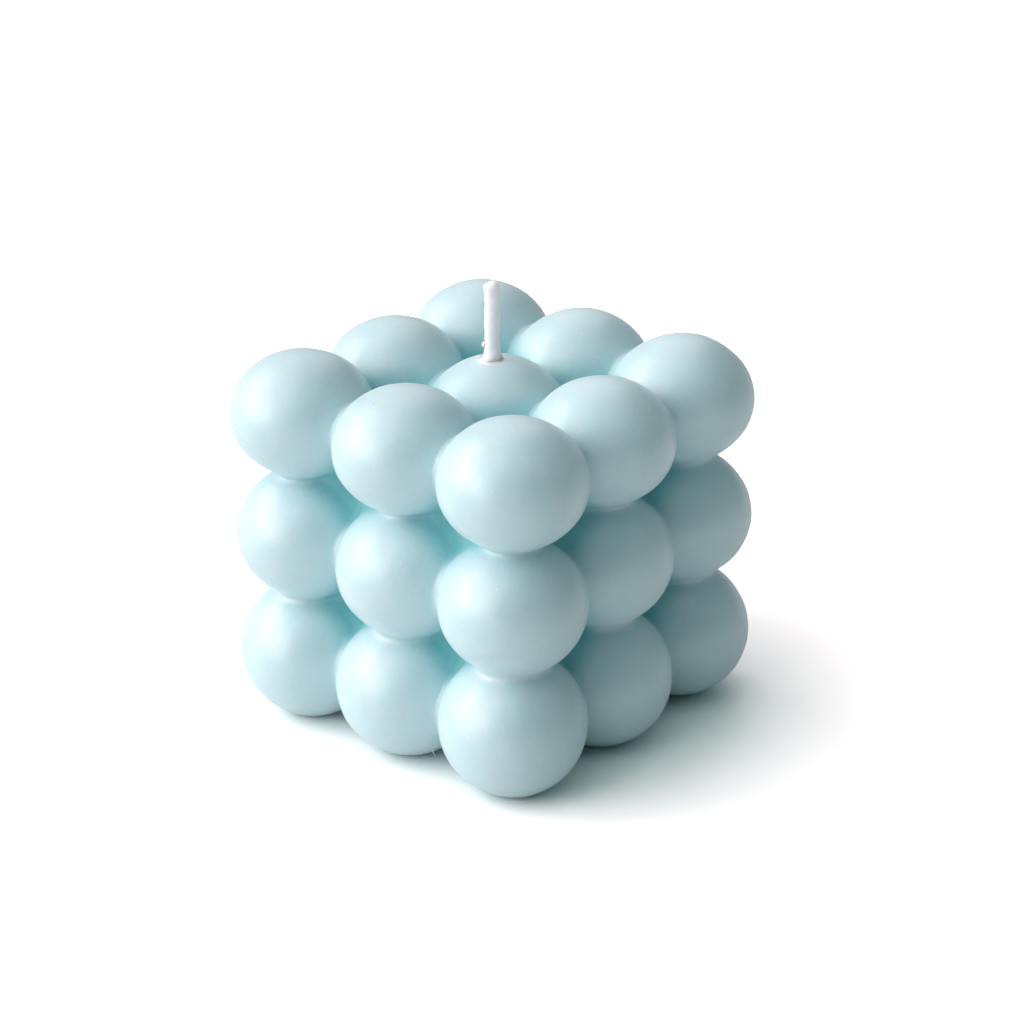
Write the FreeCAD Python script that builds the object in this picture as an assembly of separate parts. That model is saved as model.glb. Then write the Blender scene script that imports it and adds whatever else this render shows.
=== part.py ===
import FreeCAD, Part
import math
import os

from FreeCAD import Vector

# Cube candle: a block of cast wax shaped as three layers of nine fused balls, with one wick.
# Millimetres, Z up, the middle of the base at the origin, the sides along X and Y.

# Balls
ball_pitch = 19.4        # between the centres of neighbouring balls of a layer
ball_overlap = 1.9       # how far level neighbours run into each other
squash = (0.985, 0.92, 0.863)   # upright over level radius, for the bottom, middle and top layer
layer_overlap = (1.3, 0.6)      # how far each layer runs into the one above it
base_flat_depth = 0.75   # missing from the bottom balls where the candle stands
wick_ball_drop = 1.65    # the ball round the wick lies this much lower than its neighbours

# Necks between the balls
level_neck_fillet = 1.2
upright_neck_fillet = 1.1
fillet_bite = 0.03       # the filleted ring sits this much deeper than a just touching one

# Solid middle, which closes the pits between four balls with rounded bowls
pit_depth = 1.5          # from the plane through the ball centres to the lowest point of a pit
core_rise = 0.3          # from that plane out to the flat of the middle, which the bowls cut away
bowl_margin = 0.3        # how far the rim of a bowl reaches in under the necks

# Wick and the wax that climbs it
wick_radius = 1.2
wick_rise = 12.0         # above the crown of its ball
wick_head_round = 0.7
collar_height = 0.7
collar_width = 0.9
collar_lip = 0.15
collar_hollow = (0.22, 0.3)      # the side of the collar passes here: shares of its width and of its height

# Sizes that follow
ball_radius = (ball_pitch + ball_overlap) / 2
half_heights = [ball_radius * s for s in squash]
bottom_z = half_heights[0] - base_flat_depth
middle_z = bottom_z + half_heights[0] + half_heights[1] - layer_overlap[0]
top_z = middle_z + half_heights[1] + half_heights[2] - layer_overlap[1]
layer_z = (bottom_z, middle_z, top_z)
wick_ball_z = top_z - wick_ball_drop
crown_z = wick_ball_z + half_heights[2]
block_half = ball_pitch + ball_radius
X_AXIS, Z_AXIS = Vector(1, 0, 0), Vector(0, 0, 1)
WEDGES = 3               # a ball is turned as this many equal wedges, so that none of its faces closes on itself
PLACES = (-1, 0, 1)
SIDES = (-1, 1)
HALVINGS = 60            # of an interval, when a touching point is searched for


def offset_point(level, upright, gap, radius):
    """On the curve a gap outside a ball's profile, at a radius: its height, and the foot on the ball."""
    low, high = 0.0, math.pi / 2
    for _ in range(HALVINGS):
        t = (low + high) / 2
        slope = math.hypot(upright * math.sin(t), level * math.cos(t))
        reach = level * math.sin(t) + gap * upright * math.sin(t) / slope
        low, high = (t, high) if reach < radius else (low, t)
    slope = math.hypot(upright * math.sin(low), level * math.cos(low))
    foot = (level * math.sin(low), upright * math.cos(low))
    return foot[1] + gap * level * math.cos(low) / slope, foot


def fillet_ring(below, above, distance, fillet):
    """Centre of the arc that touches the profiles of two balls, and where it touches each."""
    low, high = 0.0, min(below[0], above[0])
    for _ in range(HALVINGS):
        ring = (low + high) / 2
        height, foot = offset_point(*below, fillet, ring)
        depth, hand = offset_point(*above, fillet, ring)
        low, high = (ring, high) if height + depth > distance else (low, ring)
    return ring, height, foot, hand


def neck(below, above, distance, fillet):
    """Turned waist on Z between two balls, each (level, upright), whose centres are a distance apart."""
    ring, height, foot, hand = fillet_ring(below, above, distance, fillet)
    start = Vector(foot[0] - fillet_bite, 0, foot[1])
    waist = Vector(ring - fillet - fillet_bite, 0, height)
    end = Vector(hand[0] - fillet_bite, 0, distance - hand[1])
    low, high = Vector(0, 0, start.z), Vector(0, 0, end.z)
    outline = [
        Part.makeLine(low, start),
        Part.Arc(start, waist, end).toShape(),
        Part.makeLine(end, high),
        Part.makeLine(high, low),
    ]
    return Part.Face(Part.Wire(outline)).revolve(Vector(), Z_AXIS, 360)


def moved(shape, start, direction):
    """A shape made along +Z, turned to a direction and moved to its start."""
    out = shape.copy()
    out.Placement = FreeCAD.Placement(start, FreeCAD.Rotation(Z_AXIS, direction))
    return out


def round_ball():
    """A ball at the origin, made of equal wedges round the X axis."""
    turn = 360 / WEDGES
    wedges = []
    for n in range(WEDGES):
        wedge = Part.makeSphere(ball_radius, Vector(), X_AXIS, -90, 90, turn)
        wedge.rotate(Vector(), X_AXIS, (n + 0.5) * turn)
        wedges.append(wedge)
    return wedges[0].multiFuse(wedges[1:]).Solids[0]


def layer(number):
    """Nine round balls fused through level necks, then squashed as one."""
    ratio = squash[number]
    drop = wick_ball_drop / ratio if number == 2 else 0.0
    profile = (ball_radius, ball_radius)
    ball = round_ball()
    centres = {}
    for i in PLACES:
        for j in PLACES:
            centres[i, j] = Vector(i * ball_pitch, j * ball_pitch, 0)
    centres[0, 0].z = -drop
    pieces = [moved(ball, c, Z_AXIS) for c in centres.values()]
    for (i, j), here in centres.items():
        for near in ((i + 1, j), (i, j + 1)):
            if near in centres:
                way = centres[near] - here
                waist = neck(profile, profile, way.Length, level_neck_fillet)
                pieces.append(moved(waist, here, way))
    flatten = FreeCAD.Matrix()
    flatten.scale(1, 1, ratio)
    slab = pieces[0].multiFuse(pieces[1:]).Solids[0].transformGeometry(flatten)
    slab.translate(Vector(0, 0, layer_z[number]))
    return slab


def upright_necks():
    """Waists between each ball of the outside columns and the one above it."""
    out = []
    for k in (0, 1):
        below = (ball_radius, half_heights[k])
        above = (ball_radius, half_heights[k + 1])
        waist = neck(below, above, layer_z[k + 1] - layer_z[k], upright_neck_fillet)
        for i in PLACES:
            for j in PLACES:
                if (i, j) != (0, 0):
                    out.append(moved(waist, Vector(i * ball_pitch, j * ball_pitch, layer_z[k]), Z_AXIS))
    return out


def bowl_radius(neck_waist):
    """Radius of the ball that hollows a pit out to a rim just under the necks."""
    rim = ball_pitch / 2 - neck_waist + bowl_margin
    depth = pit_depth + core_rise
    return (rim ** 2 + depth ** 2) / (2 * depth)


def middle():
    """Solid block behind the outside balls, with one shallow bowl for each pit between four of them."""
    side = ball_pitch + core_rise
    low, high = bottom_z - core_rise, top_z + core_rise
    block = Part.makeBox(2 * side, 2 * side, high - low, Vector(-side, -side, low))
    profile = (ball_radius, ball_radius)
    level_waist = fillet_ring(profile, profile, ball_pitch, level_neck_fillet)[0] - level_neck_fillet
    flat_bowl = bowl_radius(level_waist)
    half = ball_pitch / 2
    bowls = []
    for i in SIDES:
        for j in SIDES:
            for face, way in ((low, -1), (high, 1)):
                centre = face + way * (flat_bowl - pit_depth - core_rise)
                bowls.append(Part.makeSphere(flat_bowl, Vector(i * half, j * half, centre)))
    for k in (0, 1):
        below = (ball_radius, half_heights[k])
        above = (ball_radius, half_heights[k + 1])
        rise = layer_z[k + 1] - layer_z[k]
        waist = fillet_ring(below, above, rise, upright_neck_fillet)[0] - upright_neck_fillet
        side_bowl = bowl_radius(waist)
        out = side + side_bowl - pit_depth - core_rise
        for i in SIDES:
            for way in SIDES:
                z = layer_z[k] + rise / 2
                bowls.append(Part.makeSphere(side_bowl, Vector(i * half, way * out, z)))
                bowls.append(Part.makeSphere(side_bowl, Vector(way * out, i * half, z)))
    return block.cut(bowls)


def collar():
    """Wax drawn up the wick by its own surface, hollow-sided and ending in a thin lip."""
    inner = wick_radius + collar_lip
    outer = wick_radius + collar_width
    ball_top = wick_ball_z + half_heights[2] * math.sqrt(1 - (outer / ball_radius) ** 2)
    foot = Vector(outer, 0, ball_top - fillet_bite)
    lip = Vector(inner, 0, crown_z + collar_height)
    across, up = collar_hollow
    bend = Vector(inner + across * (outer - inner), 0, foot.z + up * (lip.z - foot.z))
    low = Vector(0, 0, foot.z)
    high = Vector(0, 0, lip.z)
    outline = [
        Part.makeLine(low, foot),
        Part.Arc(foot, bend, lip).toShape(),
        Part.makeLine(lip, high),
        Part.makeLine(high, low),
    ]
    return Part.Face(Part.Wire(outline)).revolve(Vector(), Z_AXIS, 360)


def wax_body():
    """The casting: layers, necks, middle and collar as one, flat below and bored for the wick."""
    layers = [layer(number) for number in (0, 1, 2)]
    cast = layers[0].multiFuse(layers[1:] + upright_necks() + [middle(), collar()])
    below = Part.makeBox(2 * block_half, 2 * block_half, base_flat_depth * 2)
    below.translate(Vector(-block_half, -block_half, -base_flat_depth * 2))
    bore = Part.makeCylinder(wick_radius, crown_z + wick_rise)
    return cast.cut([below, bore])


def wick():
    """Waxed wick, which fills its bore from the base up and stands over its ball with a rounded head."""
    rod = Part.makeCylinder(wick_radius, crown_z + wick_rise)
    head = [e for e in rod.Edges if e.BoundBox.ZMin > crown_z]
    return rod.makeFillet(wick_head_round, head)


os.makedirs("parts", exist_ok=True)
for name, shape in (("wax_body", wax_body()), ("wick", wick())):
    solid = shape.Solids[0]
    solid.exportStep(f"parts/{name}.step")
    print(name, len(shape.Solids), solid.isValid(), round(solid.Volume, 1), solid.BoundBox)
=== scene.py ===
import math

import bpy
import numpy as np
from mathutils import Matrix, Vector


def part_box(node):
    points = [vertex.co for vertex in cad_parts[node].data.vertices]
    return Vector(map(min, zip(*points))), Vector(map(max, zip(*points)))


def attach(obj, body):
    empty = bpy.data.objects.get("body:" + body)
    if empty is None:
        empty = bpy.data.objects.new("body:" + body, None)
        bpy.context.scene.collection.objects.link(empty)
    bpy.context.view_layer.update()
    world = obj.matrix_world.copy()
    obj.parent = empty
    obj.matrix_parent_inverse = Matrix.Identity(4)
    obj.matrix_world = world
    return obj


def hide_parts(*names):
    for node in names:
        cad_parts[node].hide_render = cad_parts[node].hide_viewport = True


# Cube candle: one casting of pale blue wax, made of 27 fused balls, and its wick of braided cotton.
# Shapes are worked out in millimetres in the frame of the construction. Meshes are in metres.
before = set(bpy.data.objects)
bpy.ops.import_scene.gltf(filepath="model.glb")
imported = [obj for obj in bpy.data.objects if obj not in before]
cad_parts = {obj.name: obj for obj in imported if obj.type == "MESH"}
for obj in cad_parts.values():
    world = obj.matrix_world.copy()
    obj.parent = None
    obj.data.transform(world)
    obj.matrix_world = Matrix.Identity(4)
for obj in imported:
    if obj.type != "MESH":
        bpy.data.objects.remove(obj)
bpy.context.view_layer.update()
MM = 0.001

# The block, as in the construction
PITCH = 19.4
RADIUS = 10.65
HALF_HEIGHTS = (10.490, 9.798, 9.191)
LAYER_Z = (9.740, 28.7285, 47.1172)
PLACES = (-1, 0, 1)
WICK_BALL = (0, 0, 2)
WICK_BALL_DROP = 1.65
WICK_BALL_Z = LAYER_Z[2] - WICK_BALL_DROP
CROWN_Z = WICK_BALL_Z + HALF_HEIGHTS[2]
CORE_RISE = 0.3
PIT_DEPTH = 1.5
PIT_RIM = 5.0
WICK_RADIUS = 1.2
WICK_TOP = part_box("wick")[1].z / MM

# Roundings between the forms of the wax
LEVEL_BLEND = 1.4
UPRIGHT_BLEND = 1.5
BOWL_EDGE = 0.4
CORE_BLEND = 2.2
COLLAR_EDGE = 0.12
COLLAR_BLEND = 0.5
BASE_ROUND = 0.45

# Wax that climbs the wick, and the paler wax round it
COLLAR_PLACE = (-0.21, -0.18)
COLLAR_RADIUS = WICK_RADIUS + 0.1
COLLAR_RISE = 0.38
HALO_PLACE = (-0.15, -0.12)
HALO_RADIUS = 2.5
HALO_FADE = 0.7
HALO_SHARE = 0.9

# Painted shade: the wax is coloured a deeper teal where it lies this deep under the rounded envelope of the
# block, standing in for the shade that falls in the pits
PIT_SHADE_FROM = 5.0
PIT_SHADE_SPAN = 5.8

# Small differences of a poured block
# SHIFT and GROWTH bound the random ones. UNEVEN holds, by the place of the ball, how far it lies to the
# right in the view, along VIEW_RIGHT, and up, and what its radii gain.
VIEW_RIGHT = (0.769, 0.639)
SHIFT = (0.10, 0.10, 0.05)
GROWTH = (0.08, 0.08, 0.05)
UNEVEN = {
    (1, -1, 2): (0.0, -0.1, 0.0), (1, 0, 2): (0.3, -0.2, -0.1), (1, 1, 2): (0.0, 0.4, 0.1),
    (0, -1, 2): (0.0, -0.1, -0.1), (0, 0, 2): (0.2, 0.0, 0.0), (0, 1, 2): (0.4, -0.2, 0.0),
    (-1, -1, 2): (-0.4, 0.3, 0.0), (-1, 0, 2): (0.0, -0.2, -0.1), (-1, 1, 2): (0.4, -0.2, 0.2),
    (1, -1, 1): (0.0, -0.3, 0.0), (1, 0, 1): (0.2, 0.1, 0.1), (1, 1, 1): (0.0, 0.4, 0.1),
    (0, -1, 1): (0.2, -0.2, 0.1), (-1, -1, 1): (0.1, 0.1, 0.1),
    (1, -1, 0): (0.0, 0.1, 0.1), (1, 0, 0): (0.2, 0.0, 0.1), (1, 1, 0): (0.1, 0.5, 0.0),
    (0, -1, 0): (-0.3, 0.1, 0.1), (-1, -1, 0): (-0.2, 0.1, 0.1),
}

# Waves of the skin: height, then the steps along x, y and z and the phase of two sines that are multiplied
WAVES = (
    (0.045, (0.31, 0.17, 0.0, 0.9), (0.0, 0.23, -0.29, 0.4)),
    (0.022, (0.71, 0.0, -0.43, 2.1), (0.0, 0.63, 0.52, 1.3)),
    (0.007, (1.3, 0.9, 0.0, -0.5), (0.0, -0.8, 1.1, 0.2)),
)

# Grid on which the wax is meshed, finer about the wick
GRID_SIDE = 31.5
GRID_LOW, GRID_HIGH = -0.7, 57.0
FINE_SIDE = 3.3
FINE_LOW, FINE_HIGH = 52.0, 56.0
STEP, FINE_STEP = 0.66, 0.33

# Evening out of the net: a vertex goes the share EASE of the way to the middle of its neighbours
ROUNDS = 4
EASE = 0.5
LONGEST_STEP = 0.5
LEAST_SLOPE = 0.2

FAR = 1e9
TINY = 1e-9
SLACK = 1e-6


def ball_list():
    """Layer, centre and radii of the 27 balls."""
    rng = np.random.default_rng(7)
    balls = []
    for k in range(len(LAYER_Z)):
        for i in PLACES:
            for j in PLACES:
                drop = WICK_BALL_DROP if (i, j, k) == WICK_BALL else 0
                centre = np.array([i * PITCH, j * PITCH, LAYER_Z[k] - drop])
                radii = np.array([RADIUS, RADIUS, HALF_HEIGHTS[k]])
                shift = rng.uniform(-1, 1, 3) * SHIFT
                growth = rng.uniform(-1, 1, 3) * GROWTH
                across, rise, more = UNEVEN.get((i, j, k), (0.0, 0.0, 0.0))
                shift += (across * VIEW_RIGHT[0], across * VIEW_RIGHT[1], rise)
                balls.append((k, centre + shift, radii + growth + more))
    return balls


BALLS = ball_list()


def ball_distance(points, centre, radii):
    offset = points - centre
    share = np.sqrt(((offset / radii) ** 2).sum(1))
    slope = np.sqrt(((offset / radii ** 2) ** 2).sum(1))
    return share * (share - 1) / np.maximum(slope, TINY)


def box_distance(points, low, high, side):
    """Distance to an upright block on the middle axis: its bottom, its top and half its width."""
    away = np.abs(points - (0, 0, (low + high) / 2)) - (side, side, (high - low) / 2)
    return np.sqrt((np.maximum(away, 0) ** 2).sum(1)) + np.minimum(away.max(1), 0)


def joined(distances, blend):
    """Union of several distances with a rounded fillet."""
    nearest = distances[0]
    squares = np.maximum(blend - distances[0], 0) ** 2
    for distance in distances[1:]:
        nearest = np.minimum(nearest, distance)
        squares = squares + np.maximum(blend - distance, 0) ** 2
    return np.maximum(nearest, blend) - np.sqrt(squares)


def cut(a, b, blend):
    """What is in a and in b, with a rounded edge."""
    squares = np.maximum(blend + a, 0) ** 2 + np.maximum(blend + b, 0) ** 2
    return np.minimum(np.maximum(a, b), -blend) + np.sqrt(squares)


def bowl_distance(points, low, high, side):
    """Distance to the nearest of the round bowls that hollow out the pits between four balls."""
    depth = PIT_DEPTH + CORE_RISE
    radius = (PIT_RIM ** 2 + depth ** 2) / (2 * depth)
    half, out = PITCH / 2, side + radius - depth
    places = [(half, half, low - radius + depth), (half, half, high + radius - depth)]
    for below, above in zip(LAYER_Z, LAYER_Z[1:]):
        middle = (below + above) / 2
        places += [(half, out, middle), (out, half, middle)]
    folded = np.abs(points) * (1, 1, 0) + points * (0, 0, 1)
    nearest = np.full(len(points), FAR)
    for place in places:
        nearest = np.minimum(nearest, np.sqrt(((folded - place) ** 2).sum(1)) - radius)
    return nearest


def core_distance(points):
    """The solid middle of the block."""
    side = PITCH + CORE_RISE
    low, high = LAYER_Z[0] - CORE_RISE, LAYER_Z[2] + CORE_RISE
    return cut(box_distance(points, low, high, side), -bowl_distance(points, low, high, side), BOWL_EDGE)


def collar_distance(points):
    """Wax that climbs the wick."""
    side = np.hypot(points[:, 0] - COLLAR_PLACE[0], points[:, 1] - COLLAR_PLACE[1]) - COLLAR_RADIUS
    over = points[:, 2] - (CROWN_Z + COLLAR_RISE)
    return cut(side, np.maximum(over, WICK_BALL_Z - points[:, 2]), COLLAR_EDGE)


def waves(points):
    """Faint unevenness of the skin."""
    x, y, z = points.T

    def sine(steps):
        return np.sin(steps[0] * x + steps[1] * y + steps[2] * z + steps[3])

    return sum(height * (sine(one) * sine(other)) for height, one, other in WAVES)


def wax(points):
    """Signed distance to the wax, nearly true close to it."""
    layers = [[], [], []]
    for k, centre, radii in BALLS:
        layers[k].append(ball_distance(points, centre, radii))
    body = joined([joined(balls, LEVEL_BLEND) for balls in layers], UPRIGHT_BLEND)
    body = joined([body, core_distance(points)], CORE_BLEND) + waves(points)
    body = joined([body, collar_distance(points)], COLLAR_BLEND)
    return cut(body, -points[:, 2], BASE_ROUND)


def gradient(points, reach=0.02):
    """Slope of the distance to the wax, from four values about each point."""
    corners = np.array([[1, -1, -1], [-1, -1, 1], [-1, 1, -1], [1, 1, 1]], float)
    return sum(corner * wax(points + reach * corner)[:, None] for corner in corners) / (4 * reach)


def grid_lines(low, high, fine_low, fine_high):
    """Rising values, closer together inside the fine stretch."""
    values = [low]
    while values[-1] < high:
        fine = fine_low - SLACK < values[-1] < fine_high
        values.append(values[-1] + (FINE_STEP if fine else STEP))
    return np.array(values)


def crossed_cells(lines, field):
    """Numbers of the grid cells that the surface crosses, and for each the mean of its crossings."""
    inside = field < 0
    nx, ny, nz = field.shape
    corners = [(a, b, c) for a in (0, 1) for b in (0, 1) for c in (0, 1)]
    count = np.zeros((nx - 1, ny - 1, nz - 1), np.int8)
    for a, b, c in corners:
        count += inside[a:nx - 1 + a, b:ny - 1 + b, c:nz - 1 + c]
    active = (count > 0) & (count < len(corners))
    cells = np.argwhere(active)
    index = np.full(active.shape, -1, np.int64)
    index[active] = np.arange(len(cells))

    def at(corner):
        place = cells + corner
        values = field[place[:, 0], place[:, 1], place[:, 2]]
        return values, np.stack([line[place[:, axis]] for axis, line in enumerate(lines)], 1)

    total, hits = np.zeros((len(cells), 3)), np.zeros(len(cells))
    for start in corners:
        for axis in range(3):
            if start[axis] == 0:
                end = tuple(v + (n == axis) for n, v in enumerate(start))
                (here, start_point), (there, end_point) = at(start), at(end)
                crossed = (here < 0) != (there < 0)
                share = np.where(crossed, here / np.where(crossed, here - there, 1), 0)[:, None]
                total += np.where(crossed[:, None], start_point + share * (end_point - start_point), 0)
                hits += crossed
    return index, total / hits[:, None]


def surface_net(lines, field):
    """Quads on the zero of a field, one vertex for each grid cell that it crosses."""
    index, points = crossed_cells(lines, field)
    inside = field < 0
    quads = []
    for axis in range(3):
        u, v = (axis + 1) % 3, (axis + 2) % 3
        first = np.take(inside, range(0, inside.shape[axis] - 1), axis)
        second = np.take(inside, range(1, inside.shape[axis]), axis)
        edges = np.argwhere(first != second)
        edges = edges[(edges[:, u] > 0) & (edges[:, v] > 0)]
        going_out = first[edges[:, 0], edges[:, 1], edges[:, 2]]
        ring = []
        for du, dv in ((1, 1), (0, 1), (0, 0), (1, 0)):
            cell = edges.copy()
            cell[:, u] -= du
            cell[:, v] -= dv
            ring.append(index[cell[:, 0], cell[:, 1], cell[:, 2]])
        ring = np.stack(ring, 1)
        ring[~going_out] = ring[~going_out][:, ::-1]
        quads.append(ring)
    return points, np.concatenate(quads)


def relaxed(points, quads):
    """Evens out the net and puts its vertices on the surface."""
    edges = np.concatenate([quads[:, [n, (n + 1) % 4]] for n in range(4)])
    size = len(points)
    near = np.bincount(edges[:, 0], minlength=size) + np.bincount(edges[:, 1], minlength=size)
    for n in range(ROUNDS):
        if n:
            total = np.stack([np.bincount(edges[:, 0], points[edges[:, 1], axis], size)
                              + np.bincount(edges[:, 1], points[edges[:, 0], axis], size)
                              for axis in range(3)], 1)
            points = points + EASE * (total / near[:, None] - points)
        slope = gradient(points)
        step = (wax(points) / np.maximum((slope * slope).sum(1), LEAST_SLOPE))[:, None] * slope
        points = points - np.clip(step, -LONGEST_STEP, LONGEST_STEP)
    return points


def float_attribute(data, name, values):
    share = data.attributes.new(name, "FLOAT", "POINT")
    share.data.foreach_set("value", values.astype(np.float32))


def piece_of(data, material):
    """The piece with this mesh, smooth, in its material and on the part's one body."""
    data.shade_smooth()
    data.materials.append(material)
    piece = bpy.data.objects.new(data.name, data)
    bpy.context.scene.collection.objects.link(piece)
    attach(piece, "root")
    return piece


def mesh_piece(name, points, faces, material, pale=0.0):
    """A piece of faces with the same number of corners. pale is how much whiter its material is."""
    data = bpy.data.meshes.new(name)
    data.vertices.add(len(points))
    data.vertices.foreach_set("co", (points * MM).astype(np.float32).ravel())
    data.loops.add(faces.size)
    data.loops.foreach_set("vertex_index", faces.astype(np.int32).ravel())
    data.polygons.add(len(faces))
    data.polygons.foreach_set("loop_start", np.arange(0, faces.size, faces.shape[1], dtype=np.int32))
    data.update(calc_edges=True)
    data.validate()
    piece = piece_of(data, material)
    float_attribute(data, "pale", np.broadcast_to(np.float32(pale), len(points)))
    return piece


def pit_shade_share(points):
    """Share of painted shade, by how deep a place lies under the block's rounded envelope: 0 on the open
    balls, 1 in the pits.
    """
    outside = box_distance(points, LAYER_Z[0], LAYER_Z[2], PITCH)
    t = np.clip((RADIUS - outside - PIT_SHADE_FROM) / PIT_SHADE_SPAN, 0, 1)
    return t * t * (3 - 2 * t)


def halo_share(points):
    """How much whiter the wax is by the wick."""
    from_wick = np.hypot(points[:, 0] - HALO_PLACE[0], points[:, 1] - HALO_PLACE[1])
    return HALO_SHARE * np.clip((HALO_RADIUS - from_wick) / HALO_FADE, 0, 1) * (points[:, 2] > CROWN_Z - 2)


def build_wax(material):
    across = grid_lines(-GRID_SIDE, GRID_SIDE, -FINE_SIDE, FINE_SIDE)
    upright = grid_lines(GRID_LOW, GRID_HIGH, FINE_LOW, FINE_HIGH)
    lines = (across, across, upright)
    grid = np.stack(np.meshgrid(*lines, indexing="ij"), -1)
    field = np.empty(grid.shape[:3])
    for i, plane in enumerate(grid):
        field[i] = wax(plane.reshape(-1, 3)).reshape(field.shape[1:])
    points, quads = surface_net(lines, field)
    points = relaxed(points, quads)
    normals = gradient(points)
    normals /= np.linalg.norm(normals, axis=1)[:, None]
    piece = mesh_piece("wax_casting", points, quads, material, halo_share(points))
    piece.data.normals_split_custom_set_from_vertices(normals.astype(np.float32))
    # the share of painted pit shade goes on the vertices as the attribute pit
    float_attribute(piece.data, "pit", pit_shade_share(points))
    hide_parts("wax_body")
    return piece


# The wick: a thin plait that is thicker at its foot and stands ASIDE of the middle, to the left in the view
WICK_AROUND = 72
WICK_LESS = 0.08
LEFT = -np.array(VIEW_RIGHT)
ASIDE, ASIDE_DEPTH, ASIDE_SPAN = 0.28, 2.0, 1.5
PLAIT_DEPTH = 0.075
PLAIT_TWIST = 1.55
FOOT_STEP, SHAFT_STEP = 0.05, 0.11
FLARE, FLARE_HEIGHT = 0.29, 1.1
FOOT, FOOT_HEIGHT, FOOT_DROP = 0.2, 0.2, 0.22

# Its end: rounded over the height HEAD, a little thicker on the left and cut aslant
HEAD = 0.9
HEAD_RINGS = 12
HEAD_FULLNESS = 0.9
BULGE, BULGE_HEIGHT = 0.10, 0.6
SLANT, SLANT_HEIGHT = 0.22, 0.9
CUT_DEPTH = 0.04


def wick_rings():
    """Height of each ring of the wick and its share of the full radius."""
    heights = [0.0, 10.0, 30.0, CROWN_Z - 2.0]
    heights += list(np.arange(CROWN_Z - 0.6, CROWN_Z + 0.6, FOOT_STEP))
    heights += list(np.arange(CROWN_Z + 0.65, WICK_TOP - HEAD, SHAFT_STEP))
    rings = [(z, 1.0) for z in heights]
    for angle in np.linspace(0, math.pi / 2 - 0.12, HEAD_RINGS):
        rings.append((WICK_TOP - HEAD + HEAD * math.sin(angle), math.cos(angle)))
    return rings


def wick_radii(z, turn, toward):
    """Radius of the wick round one ring, without the rounding of its end."""
    above = max(z - CROWN_Z, 0.0)
    radii = np.full(WICK_AROUND, WICK_RADIUS - WICK_LESS)
    one, other = 1.5 * turn + PLAIT_TWIST * above, 1.5 * turn - PLAIT_TWIST * above + 0.8
    radii += PLAIT_DEPTH * (np.abs(np.sin(one)) * np.abs(np.sin(other)) - 0.45)
    radii += 0.02 * np.sin(2 * turn + 1.1 * above) + 0.012 * np.sin(0.9 * above + turn)
    radii += 0.012 * np.sin(5 * turn + 9 * above) * np.sin(7.3 * above)
    if z > CROWN_Z - 1:
        foot = FOOT * math.exp(-max(z - CROWN_Z + FOOT_DROP, 0) / FOOT_HEIGHT)
        radii += FLARE * math.exp(-(above / FLARE_HEIGHT) ** 2) + foot
    bulge = BULGE * math.exp(-((z - WICK_TOP + HEAD) / BULGE_HEIGHT) ** 2)
    return radii + bulge * np.maximum(toward, 0)


def wick_ring(z, share):
    """Points of one ring of the wick."""
    turn = np.linspace(0, 2 * math.pi, WICK_AROUND, endpoint=False)
    toward = np.cos(turn) * LEFT[0] + np.sin(turn) * LEFT[1]
    radii = wick_radii(z, turn, toward) * share ** HEAD_FULLNESS
    aside = ASIDE * min(1.0, max(0.0, (z - CROWN_Z + ASIDE_DEPTH) / ASIDE_SPAN))
    aslant = max(0.0, min(1.0, (z - WICK_TOP + 1.0) / SLANT_HEIGHT))
    x, y = radii * np.cos(turn) + aside * LEFT[0], radii * np.sin(turn) + aside * LEFT[1]
    tilt = -SLANT * toward * (radii / WICK_RADIUS)
    return np.stack([x, y, z + tilt * aslant - CUT_DEPTH * (z > WICK_TOP - 0.95)], 1)


def tube_faces(rows, around, up=True):
    """Quads between rings of points. up is whether the rings climb as they go."""
    faces = []
    for row in range(rows):
        here, there = row * around, (row + 1) * around
        for a in range(around):
            b = (a + 1) % around
            if up:
                faces.append((here + a, here + b, there + b, there + a))
            else:
                faces.append((here + a, there + a, there + b, here + b))
    return faces


def build_wick(material):
    rings = [wick_ring(z, share) for z, share in wick_rings()]
    top = rings[-1].mean(0) + (0, 0, 0.01)
    points = np.concatenate(rings + [np.zeros((1, 3)), top[None]])
    faces = tube_faces(len(rings) - 1, WICK_AROUND)
    middle_low, middle_top = len(points) - 2, len(points) - 1
    last = (len(rings) - 1) * WICK_AROUND
    for a in range(WICK_AROUND):
        b = (a + 1) % WICK_AROUND
        faces.append((middle_top, last + a, last + b))
        faces.append((middle_low, b, a))
    data = bpy.data.meshes.new("wick_cord")
    data.from_pydata((points * MM).tolist(), [], faces)
    piece = piece_of(data, material)
    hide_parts("wick")
    return piece


def bead(centre, radii, long_way, up_way, seed):
    """Small lump: an oval with an uneven skin. radii run along long_way, across it and along up_way."""
    rows, around = 15, 24
    up = np.array(up_way, float) / np.linalg.norm(up_way)
    along = np.array(long_way, float) - np.dot(long_way, up) * up
    along /= np.linalg.norm(along)
    across = np.cross(up, along)
    phase = np.random.default_rng(seed).uniform(0, 6.28, 6)
    points = []
    for row in range(rows + 1):
        tip = math.pi * row / rows
        for step in range(around):
            turn = 2 * math.pi * step / around
            uneven = 1 + 0.08 * math.sin(2 * turn + phase[0]) * math.sin(tip)
            uneven += 0.06 * math.sin(3 * tip + phase[1])
            uneven += 0.05 * math.sin(3 * turn + phase[2]) * math.sin(tip) ** 2
            way = (math.sin(tip) * math.cos(turn) * radii[0] * along
                   + math.sin(tip) * math.sin(turn) * radii[1] * across + math.cos(tip) * radii[2] * up)
            points.append(np.array(centre) + uneven * way)
    return np.array(points), np.array(tube_faces(rows, around, up=False))


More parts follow.
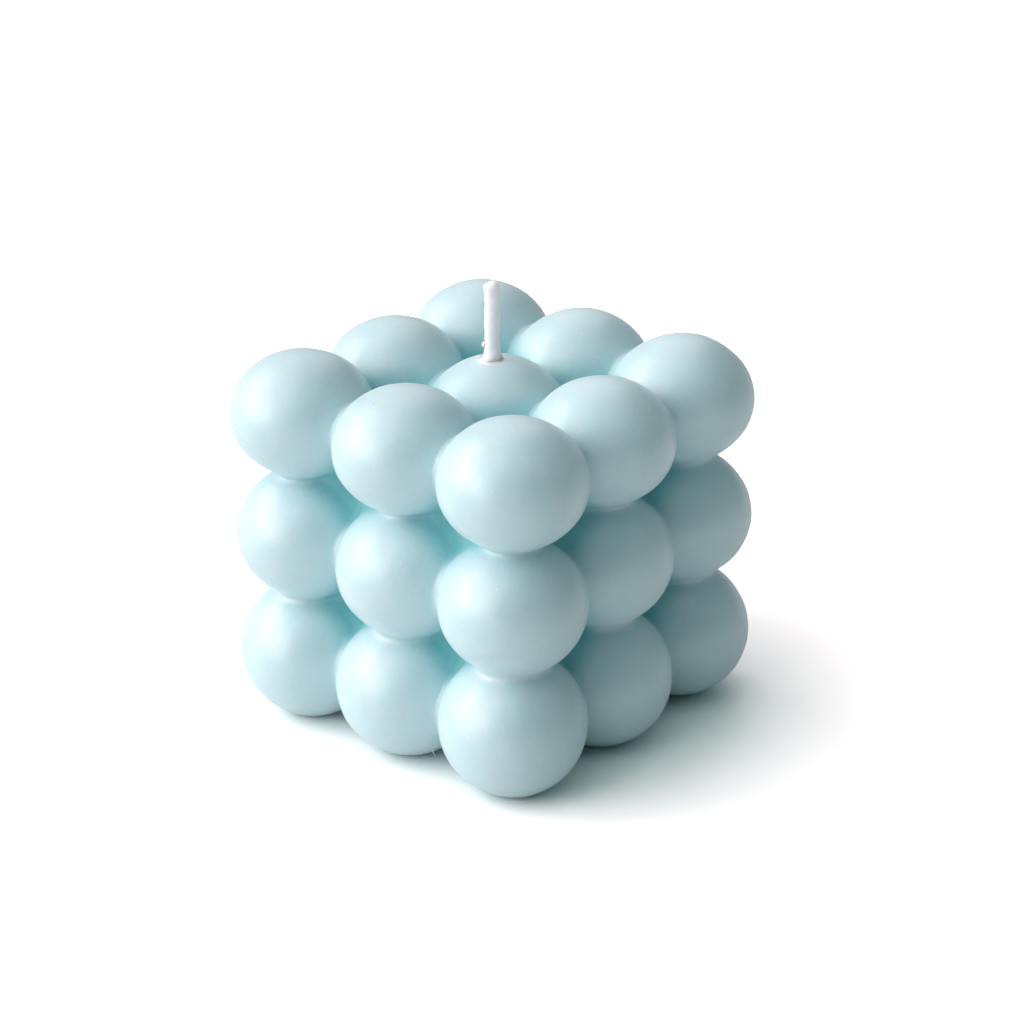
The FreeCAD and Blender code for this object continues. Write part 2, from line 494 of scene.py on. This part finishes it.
def curl(start, way, out, length, width, seed):
    """Curl of thin wax left by the mould's seam: it leaves the ball along way and bends outwards."""
    rows, around = 16, 12
    way = np.array(way, float) / np.linalg.norm(way)
    out = np.array(out, float) / np.linalg.norm(out)
    side = np.cross(way, out)
    side /= np.linalg.norm(side)
    wave = np.random.default_rng(seed).uniform(0, 6.28)
    points = []
    for row in range(rows + 1):
        t = row / rows
        spine = np.array(start) + way * length * t + out * length * 0.35 * t * t
        spine = spine + side * 0.06 * length * math.sin(4 * t + wave)
        half = width / 2 * (1 - t) ** 0.6 * (0.8 + 0.2 * math.cos(5 * t + wave)) + 0.004
        thick = 0.07 * (1 - 0.7 * t)
        for step in range(around):
            turn = 2 * math.pi * step / around
            points.append(spine + side * half * math.cos(turn) + out * thick * math.sin(turn))
    return np.array(points), np.array(tube_faces(rows, around, up=False))


def gathered(name, parts, material, pale=0.0):
    """Several small shapes as one piece."""
    points = np.concatenate([p for p, _ in parts])
    starts = np.cumsum([0] + [len(p) for p, _ in parts[:-1]])
    faces = np.concatenate([f + start for (_, f), start in zip(parts, starts)])
    return mesh_piece(name, points, faces, material, pale)


def on_skin(place):
    """The point of the wax nearest to a place, and the way out of the wax there."""
    point = np.array([place], float)
    for _ in range(6):
        slope = gradient(point)
        point = point - wax(point)[:, None] * slope / (slope * slope).sum(1)[:, None]
    slope = gradient(point)[0]
    return point[0], slope / np.linalg.norm(slope)


# Traces of casting
# A curl has its place near the skin, way, length, width and seed. A crumb has its place, radii and seed.
CURLS = (
    ((-14.35, -21.75, 1.05), (0.75, 0.27, -0.60), 0.85, 0.34, 3),
    ((6.60, -22.60, 2.45), (0.62, 0.06, -0.78), 0.90, 0.36, 4),
    ((24.40, 13.45, 2.70), (0.45, 0.30, -0.84), 0.50, 0.26, 5),
    ((-9.9, 29.2, 4.6), (0.3, 0.5, -0.8), 0.70, 0.30, 6),
    ((-29.0, 9.4, 5.2), (-0.5, 0.2, -0.8), 0.60, 0.26, 8),
)
CRUMBS = (
    ((-20.11, 9.68, 50.82), (0.26, 0.13, 0.07), 11), ((-20.6, 9.0, 50.4), (0.12, 0.08, 0.05), 12),
    ((5.91, -5.87, 51.18), (0.13, 0.11, 0.08), 13), ((-1.6, -24.2, 54.6), (0.13, 0.10, 0.07), 14),
    ((-13.2, -22.0, 21.0), (0.12, 0.10, 0.06), 15), ((-12.7, -21.7, 20.6), (0.14, 0.10, 0.07), 16),
)
DROP_PLACE, DROP_RADII = (-2.5, -0.58, 54.4), (0.36, 0.28, 0.22)
NUB_OUT, NUB_RISE, NUB_RADII = 1.50, 2.26, (0.32, 0.30, 0.42)
CURL_SINK, CRUMB_LIFT, DROP_LIFT = 0.06, 0.02, 0.05
# the drop's full paleness is partly its paler wax and partly a painted glint of the highlight on it
CURL_PALE, CRUMB_PALE, DROP_PALE_GLINT = 0.5, 0.9, 1.0
SIDEWAYS, NEARLY_SIDEWAYS, UPWARDS = (0.77, 0.64, 0), (0.77, 0.64, 0.1), (0, 0, 1)


def build_leftovers(wax_skin, cotton):
    """Seam curls at the foot, a few crumbs, a drop of wax by the wick, whitened partly as a painted glint,
    and a nub on it.
    """
    curls = []
    for place, way, length, width, seed in CURLS:
        foot, out = on_skin(place)
        curls.append(curl(foot - CURL_SINK * out, way, out, length, width, seed))
    gathered("seam_curls", curls, wax_skin, CURL_PALE)
    crumbs = []
    for place, radii, seed in CRUMBS:
        foot, out = on_skin(place)
        crumbs.append(bead(foot + CRUMB_LIFT * out, radii, NEARLY_SIDEWAYS, out, seed))
    gathered("wax_crumbs", crumbs, wax_skin, CRUMB_PALE)
    foot, out = on_skin(DROP_PLACE)
    drop = bead(foot + DROP_LIFT * out, DROP_RADII, SIDEWAYS, out, seed=21)
    gathered("wax_drop", [drop], wax_skin, DROP_PALE_GLINT)
    place = (NUB_OUT * LEFT[0], NUB_OUT * LEFT[1], CROWN_Z + NUB_RISE)
    nub = bead(place, NUB_RADII, SIDEWAYS, UPWARDS, seed=22)
    gathered("wick_nub", [nub], cotton)


class Nodes:
    """Node tree of a new material with one shader, and the nodes that the materials share."""

    def __init__(self, name):
        self.material = bpy.data.materials.new(name)
        self.material.use_nodes = True
        self.tree = self.material.node_tree
        self.tree.nodes.clear()
        self.link = self.tree.links.new
        self.out = self.add("ShaderNodeOutputMaterial")
        self.shader = self.add("ShaderNodeBsdfPrincipled")
        self.link(self.shader.outputs[0], self.out.inputs["Surface"])

    def add(self, kind, **values):
        """A new node. Values are given by the name of their socket, with _ for a space."""
        node = self.tree.nodes.new(kind)
        self.give(node, **values)
        return node

    def give(self, node, **values):
        for name, value in values.items():
            node.inputs[name.replace("_", " ")].default_value = value

    def noise(self, place, scale, detail):
        node = self.add("ShaderNodeTexNoise", Scale=scale, Detail=detail)
        self.link(place, node.inputs["Vector"])
        return node.outputs["Fac"]

    def ranged(self, source, a, b, low, high):
        """Maps a to low and b to high."""
        node = self.add("ShaderNodeMapRange")
        for number, value in zip((1, 2, 3, 4), (a, b, low, high)):
            node.inputs[number].default_value = value
        self.link(source, node.inputs[0])
        return node.outputs[0]

    def mixed(self, share, a, b):
        """Colour a, and b by the share. Each is a value or another node's output."""
        node = self.add("ShaderNodeMix")
        node.data_type = "RGBA"
        for socket, value in ((node.inputs[0], share), (node.inputs[6], a), (node.inputs[7], b)):
            if isinstance(value, bpy.types.NodeSocket):
                self.link(value, socket)
            else:
                socket.default_value = value
        return node.outputs[2]

    def attribute(self, name):
        node = self.add("ShaderNodeAttribute")
        node.attribute_name = name
        return node.outputs["Fac"]

    def bump(self, height, strength, distance):
        node = self.add("ShaderNodeBump", Strength=strength, Distance=distance)
        self.link(height, node.inputs["Height"])
        self.link(node.outputs[0], self.shader.inputs["Normal"])


# Colours
WAX_OPEN = (0.558, 0.760, 0.796, 1)
WAX_CLOUD = (0.582, 0.778, 0.813, 1)
# painted shade: the deep teal that is mixed in where shade falls in the pits
WAX_PIT_SHADE = (0.22, 0.63, 0.66, 1)
WAX_SPECK = (0.86, 0.93, 0.94, 1)
WAX_MOTTLE = (0.75, 0.88, 0.90, 1)
WAX_PALE = (0.86, 0.93, 0.95, 1)
WICK_DULL = (0.975, 0.925, 0.985, 1)
WICK_BRIGHT = (0.995, 0.965, 0.995, 1)
FLOOR_PLAIN = (0.86, 0.86, 0.86, 1)
FLOOR_UNDER = (0.76, 0.90, 0.87, 1)
FLOOR_OPEN = (2.00, 1.85, 1.83, 1)


def wax_material():
    """Satin wax that lets light in: cloudy blue, with deep teal painted shade in the pits, fine white specks
    and mottling.
    """
    nodes = Nodes("wax")
    place = nodes.add("ShaderNodeTexCoord").outputs["Object"]
    cloud = nodes.ranged(nodes.noise(place, 110.0, 3.0), 0.35, 0.65, 0.0, 1.0)
    colour = nodes.mixed(cloud, WAX_OPEN, WAX_CLOUD)
    # painted shade: deep teal by the pit share
    colour = nodes.mixed(nodes.ranged(nodes.attribute("pit"), 0.0, 1.0, 0.0, 0.9), colour, WAX_PIT_SHADE)
    speck = nodes.add("ShaderNodeTexVoronoi", Scale=430.0)
    nodes.link(place, speck.inputs["Vector"])
    spot = nodes.add("ShaderNodeMath")
    spot.operation = "MULTIPLY"
    nodes.link(nodes.ranged(speck.outputs["Distance"], 0.03, 0.08, 0.9, 0.0), spot.inputs[0])
    nodes.link(nodes.ranged(nodes.noise(place, 95.0, 1.0), 0.48, 0.58, 0.0, 1.0), spot.inputs[1])
    colour = nodes.mixed(spot.outputs[0], colour, WAX_SPECK)
    mottle = nodes.ranged(nodes.noise(place, 1300.0, 2.0), 0.42, 0.62, 0.0, 0.09)
    colour = nodes.mixed(mottle, colour, WAX_MOTTLE)
    colour = nodes.mixed(nodes.attribute("pale"), colour, WAX_PALE)
    nodes.link(colour, nodes.shader.inputs["Base Color"])
    grain = nodes.noise(place, 1100.0, 2.0)
    nodes.link(nodes.ranged(grain, 0.3, 0.7, 0.30, 0.40), nodes.shader.inputs["Roughness"])
    nodes.give(nodes.shader, Subsurface_Weight=0.85, Subsurface_Radius=(0.5, 1.0, 1.0),
               Subsurface_Scale=0.0012, IOR=1.5, Specular_IOR_Level=0.9)
    nodes.bump(grain, 0.45, 0.00005)
    return nodes.material


def wick_material():
    """White cotton soaked in wax, with fibres that run along it."""
    nodes = Nodes("wick")
    place = nodes.add("ShaderNodeTexCoord").outputs["Object"]
    along = nodes.add("ShaderNodeMapping", Scale=(1.0, 1.0, 0.25))
    nodes.link(place, along.inputs["Vector"])
    fibre = nodes.noise(along.outputs[0], 1500.0, 4.0)
    colour = nodes.mixed(nodes.ranged(fibre, 0.3, 0.7, 0.0, 1.0), WICK_DULL, WICK_BRIGHT)
    nodes.link(colour, nodes.shader.inputs["Base Color"])
    nodes.give(nodes.shader, Roughness=0.5, Subsurface_Weight=1.0, Subsurface_Radius=(1.0, 1.0, 1.0),
               Subsurface_Scale=0.0022)
    nodes.bump(fibre, 0.4, 0.0001)
    return nodes.material


def floor_material():
    """Pale matt floor. The camera sees it brighter than the object does: white outside the shadow."""
    nodes = Nodes("floor")
    nodes.give(nodes.shader, Base_Color=FLOOR_PLAIN, Roughness=0.9, Specular_IOR_Level=0.0)
    # close under the object only light from the wax reaches the floor, and it is blue-green
    near = nodes.add("ShaderNodeAmbientOcclusion", Distance=0.09)
    near.samples = 4
    seen = nodes.add("ShaderNodeBsdfDiffuse")
    nodes.link(nodes.mixed(near.outputs["AO"], FLOOR_UNDER, FLOOR_OPEN), seen.inputs["Color"])
    mix = nodes.add("ShaderNodeMixShader")
    nodes.link(nodes.add("ShaderNodeLightPath").outputs["Is Camera Ray"], mix.inputs[0])
    nodes.link(nodes.shader.outputs[0], mix.inputs[1])
    nodes.link(seen.outputs[0], mix.inputs[2])
    nodes.link(mix.outputs[0], nodes.out.inputs["Surface"])
    return nodes.material


# The camera: turned about the block's upright axis and aimed by its middle ball
# Angles are in degrees, far is in pitches, focus in pixels of the image, across and up in hundreds of them.
VIEW = dict(turn=39.709, height=24.273, far=23.107, focus=3027.36, across=-0.1643, up=0.1032, roll=-0.25)
IMAGE = 1024
SENSOR = 36


def direction(turn, height):
    """Unit vector that points away from the block, by the angles round it and over the floor."""
    turn, height = math.radians(turn), math.radians(height)
    return Vector((math.sin(turn) * math.cos(height), -math.cos(turn) * math.cos(height), math.sin(height)))


def view_axes():
    turn, roll = math.radians(VIEW["turn"]), math.radians(VIEW["roll"])
    back = direction(VIEW["turn"], VIEW["height"])
    right = Vector((math.cos(turn), math.sin(turn), 0))
    up = back.cross(right)
    cosine, sine = math.cos(roll), math.sin(roll)
    return cosine * right + sine * up, -sine * right + cosine * up, back


def build_camera():
    right, up, back = view_axes()
    far = VIEW["far"] * PITCH * MM
    scale = 100 * far / VIEW["focus"]
    middle = Vector((0, 0, LAYER_Z[1] * MM))
    lens = bpy.data.cameras.new("camera")
    lens.sensor_width = SENSOR
    lens.lens = VIEW["focus"] / IMAGE * SENSOR
    lens.clip_start = 0.01
    camera = bpy.data.objects.new("camera", lens)
    matrix = Matrix((right, up, back)).transposed().to_4x4()
    matrix.translation = middle + back * far - right * VIEW["across"] * scale + up * VIEW["up"] * scale
    camera.matrix_world = matrix
    bpy.context.scene.collection.objects.link(camera)
    bpy.context.scene.camera = camera


# Soft lights: turn from the camera (negative on its left), height and spread in degrees, strength and colour
# Together the first ones are a broad window on the left and behind, the others what pale walls send back.
WARM, COOL = (1.10, 1.0, 1.02), (0.74, 0.97, 0.97)
LIGHTS = (
    ("window_front_low", -62, 13, 44, 1.22, WARM), ("window_front", -60, 37, 44, 0.50, WARM),
    ("window_front_high", -60, 62, 40, 0.28, WARM), ("window_left_low", -92, 14, 24, 0.58, WARM),
    ("window_left", -95, 33, 20, 0.48, WARM), ("window_back_low", -120, 12, 34, 0.21, WARM),
    ("window_back", -120, 37, 34, 0.60, WARM), ("window_back_high", -120, 62, 40, 0.27, WARM),
    ("back_low", 180, 12, 40, 0.12, WARM), ("back", 180, 37, 40, 0.30, WARM),
    ("back_high", 180, 62, 40, 0.25, WARM), ("ceiling", 0, 80, 50, 0.30, COOL),
    ("front", -30, 37, 50, 0.21, COOL), ("wall_right", 90, 37, 60, 0.20, COOL),
    ("wall_right_high", 60, 62, 60, 0.04, COOL), ("wall_right_back", 150, 12, 60, 0.13, COOL),
)


def build_lights():
    for name, turn, height, spread, strength, colour in LIGHTS:
        light = bpy.data.lights.new(name, "SUN")
        light.energy = strength
        light.angle = math.radians(spread)
        light.color = colour
        lamp = bpy.data.objects.new(name, light)
        lamp.rotation_mode = "QUATERNION"
        lamp.rotation_quaternion = direction(VIEW["turn"] + turn, height).to_track_quat("Z", "Y")
        bpy.context.scene.collection.objects.link(lamp)


def build_world():
    """White for the camera and through clear things, a faint veil in reflections, and otherwise dark."""
    world = bpy.data.worlds.new("studio")
    world.use_nodes = True
    tree = world.node_tree
    tree.nodes.clear()
    add, link = tree.nodes.new, tree.links.new

    def white(strength):
        node = add("ShaderNodeBackground")
        node.inputs["Color"].default_value = (1, 1, 1, 1)
        node.inputs["Strength"].default_value = strength
        return node

    def chosen(share, otherwise, shader):
        node = add("ShaderNodeMixShader")
        link(share, node.inputs[0])
        link(otherwise.outputs[0], node.inputs[1])
        link(shader.outputs[0], node.inputs[2])
        return node

    path, either, out = add("ShaderNodeLightPath"), add("ShaderNodeMath"), add("ShaderNodeOutputWorld")
    either.operation = "MAXIMUM"
    link(path.outputs["Is Camera Ray"], either.inputs[0])
    link(path.outputs["Is Transmission Ray"], either.inputs[1])
    veiled = chosen(path.outputs["Is Glossy Ray"], white(0.0), white(0.06))
    link(chosen(either.outputs[0], veiled, white(1.0)).outputs[0], out.inputs["Surface"])
    bpy.context.scene.world = world


def build_floor():
    side = 6.0
    data = bpy.data.meshes.new("floor")
    corners = [(-side, -side, 0), (side, -side, 0), (side, side, 0), (-side, side, 0)]
    data.from_pydata(corners, [], [(0, 1, 2, 3)])
    data.materials.append(floor_material())
    floor = bpy.data.objects.new("floor", data)
    bpy.context.scene.collection.objects.link(floor)


build_camera()
wax_skin, cotton = wax_material(), wick_material()
build_wax(wax_skin)
build_wick(cotton)
build_leftovers(wax_skin, cotton)
build_floor()
build_lights()
build_world()
bpy.context.scene.view_settings.view_transform = "Standard"
bpy.context.scene.cycles.use_light_tree = False   # the lights are few and far off, so it would only cost time
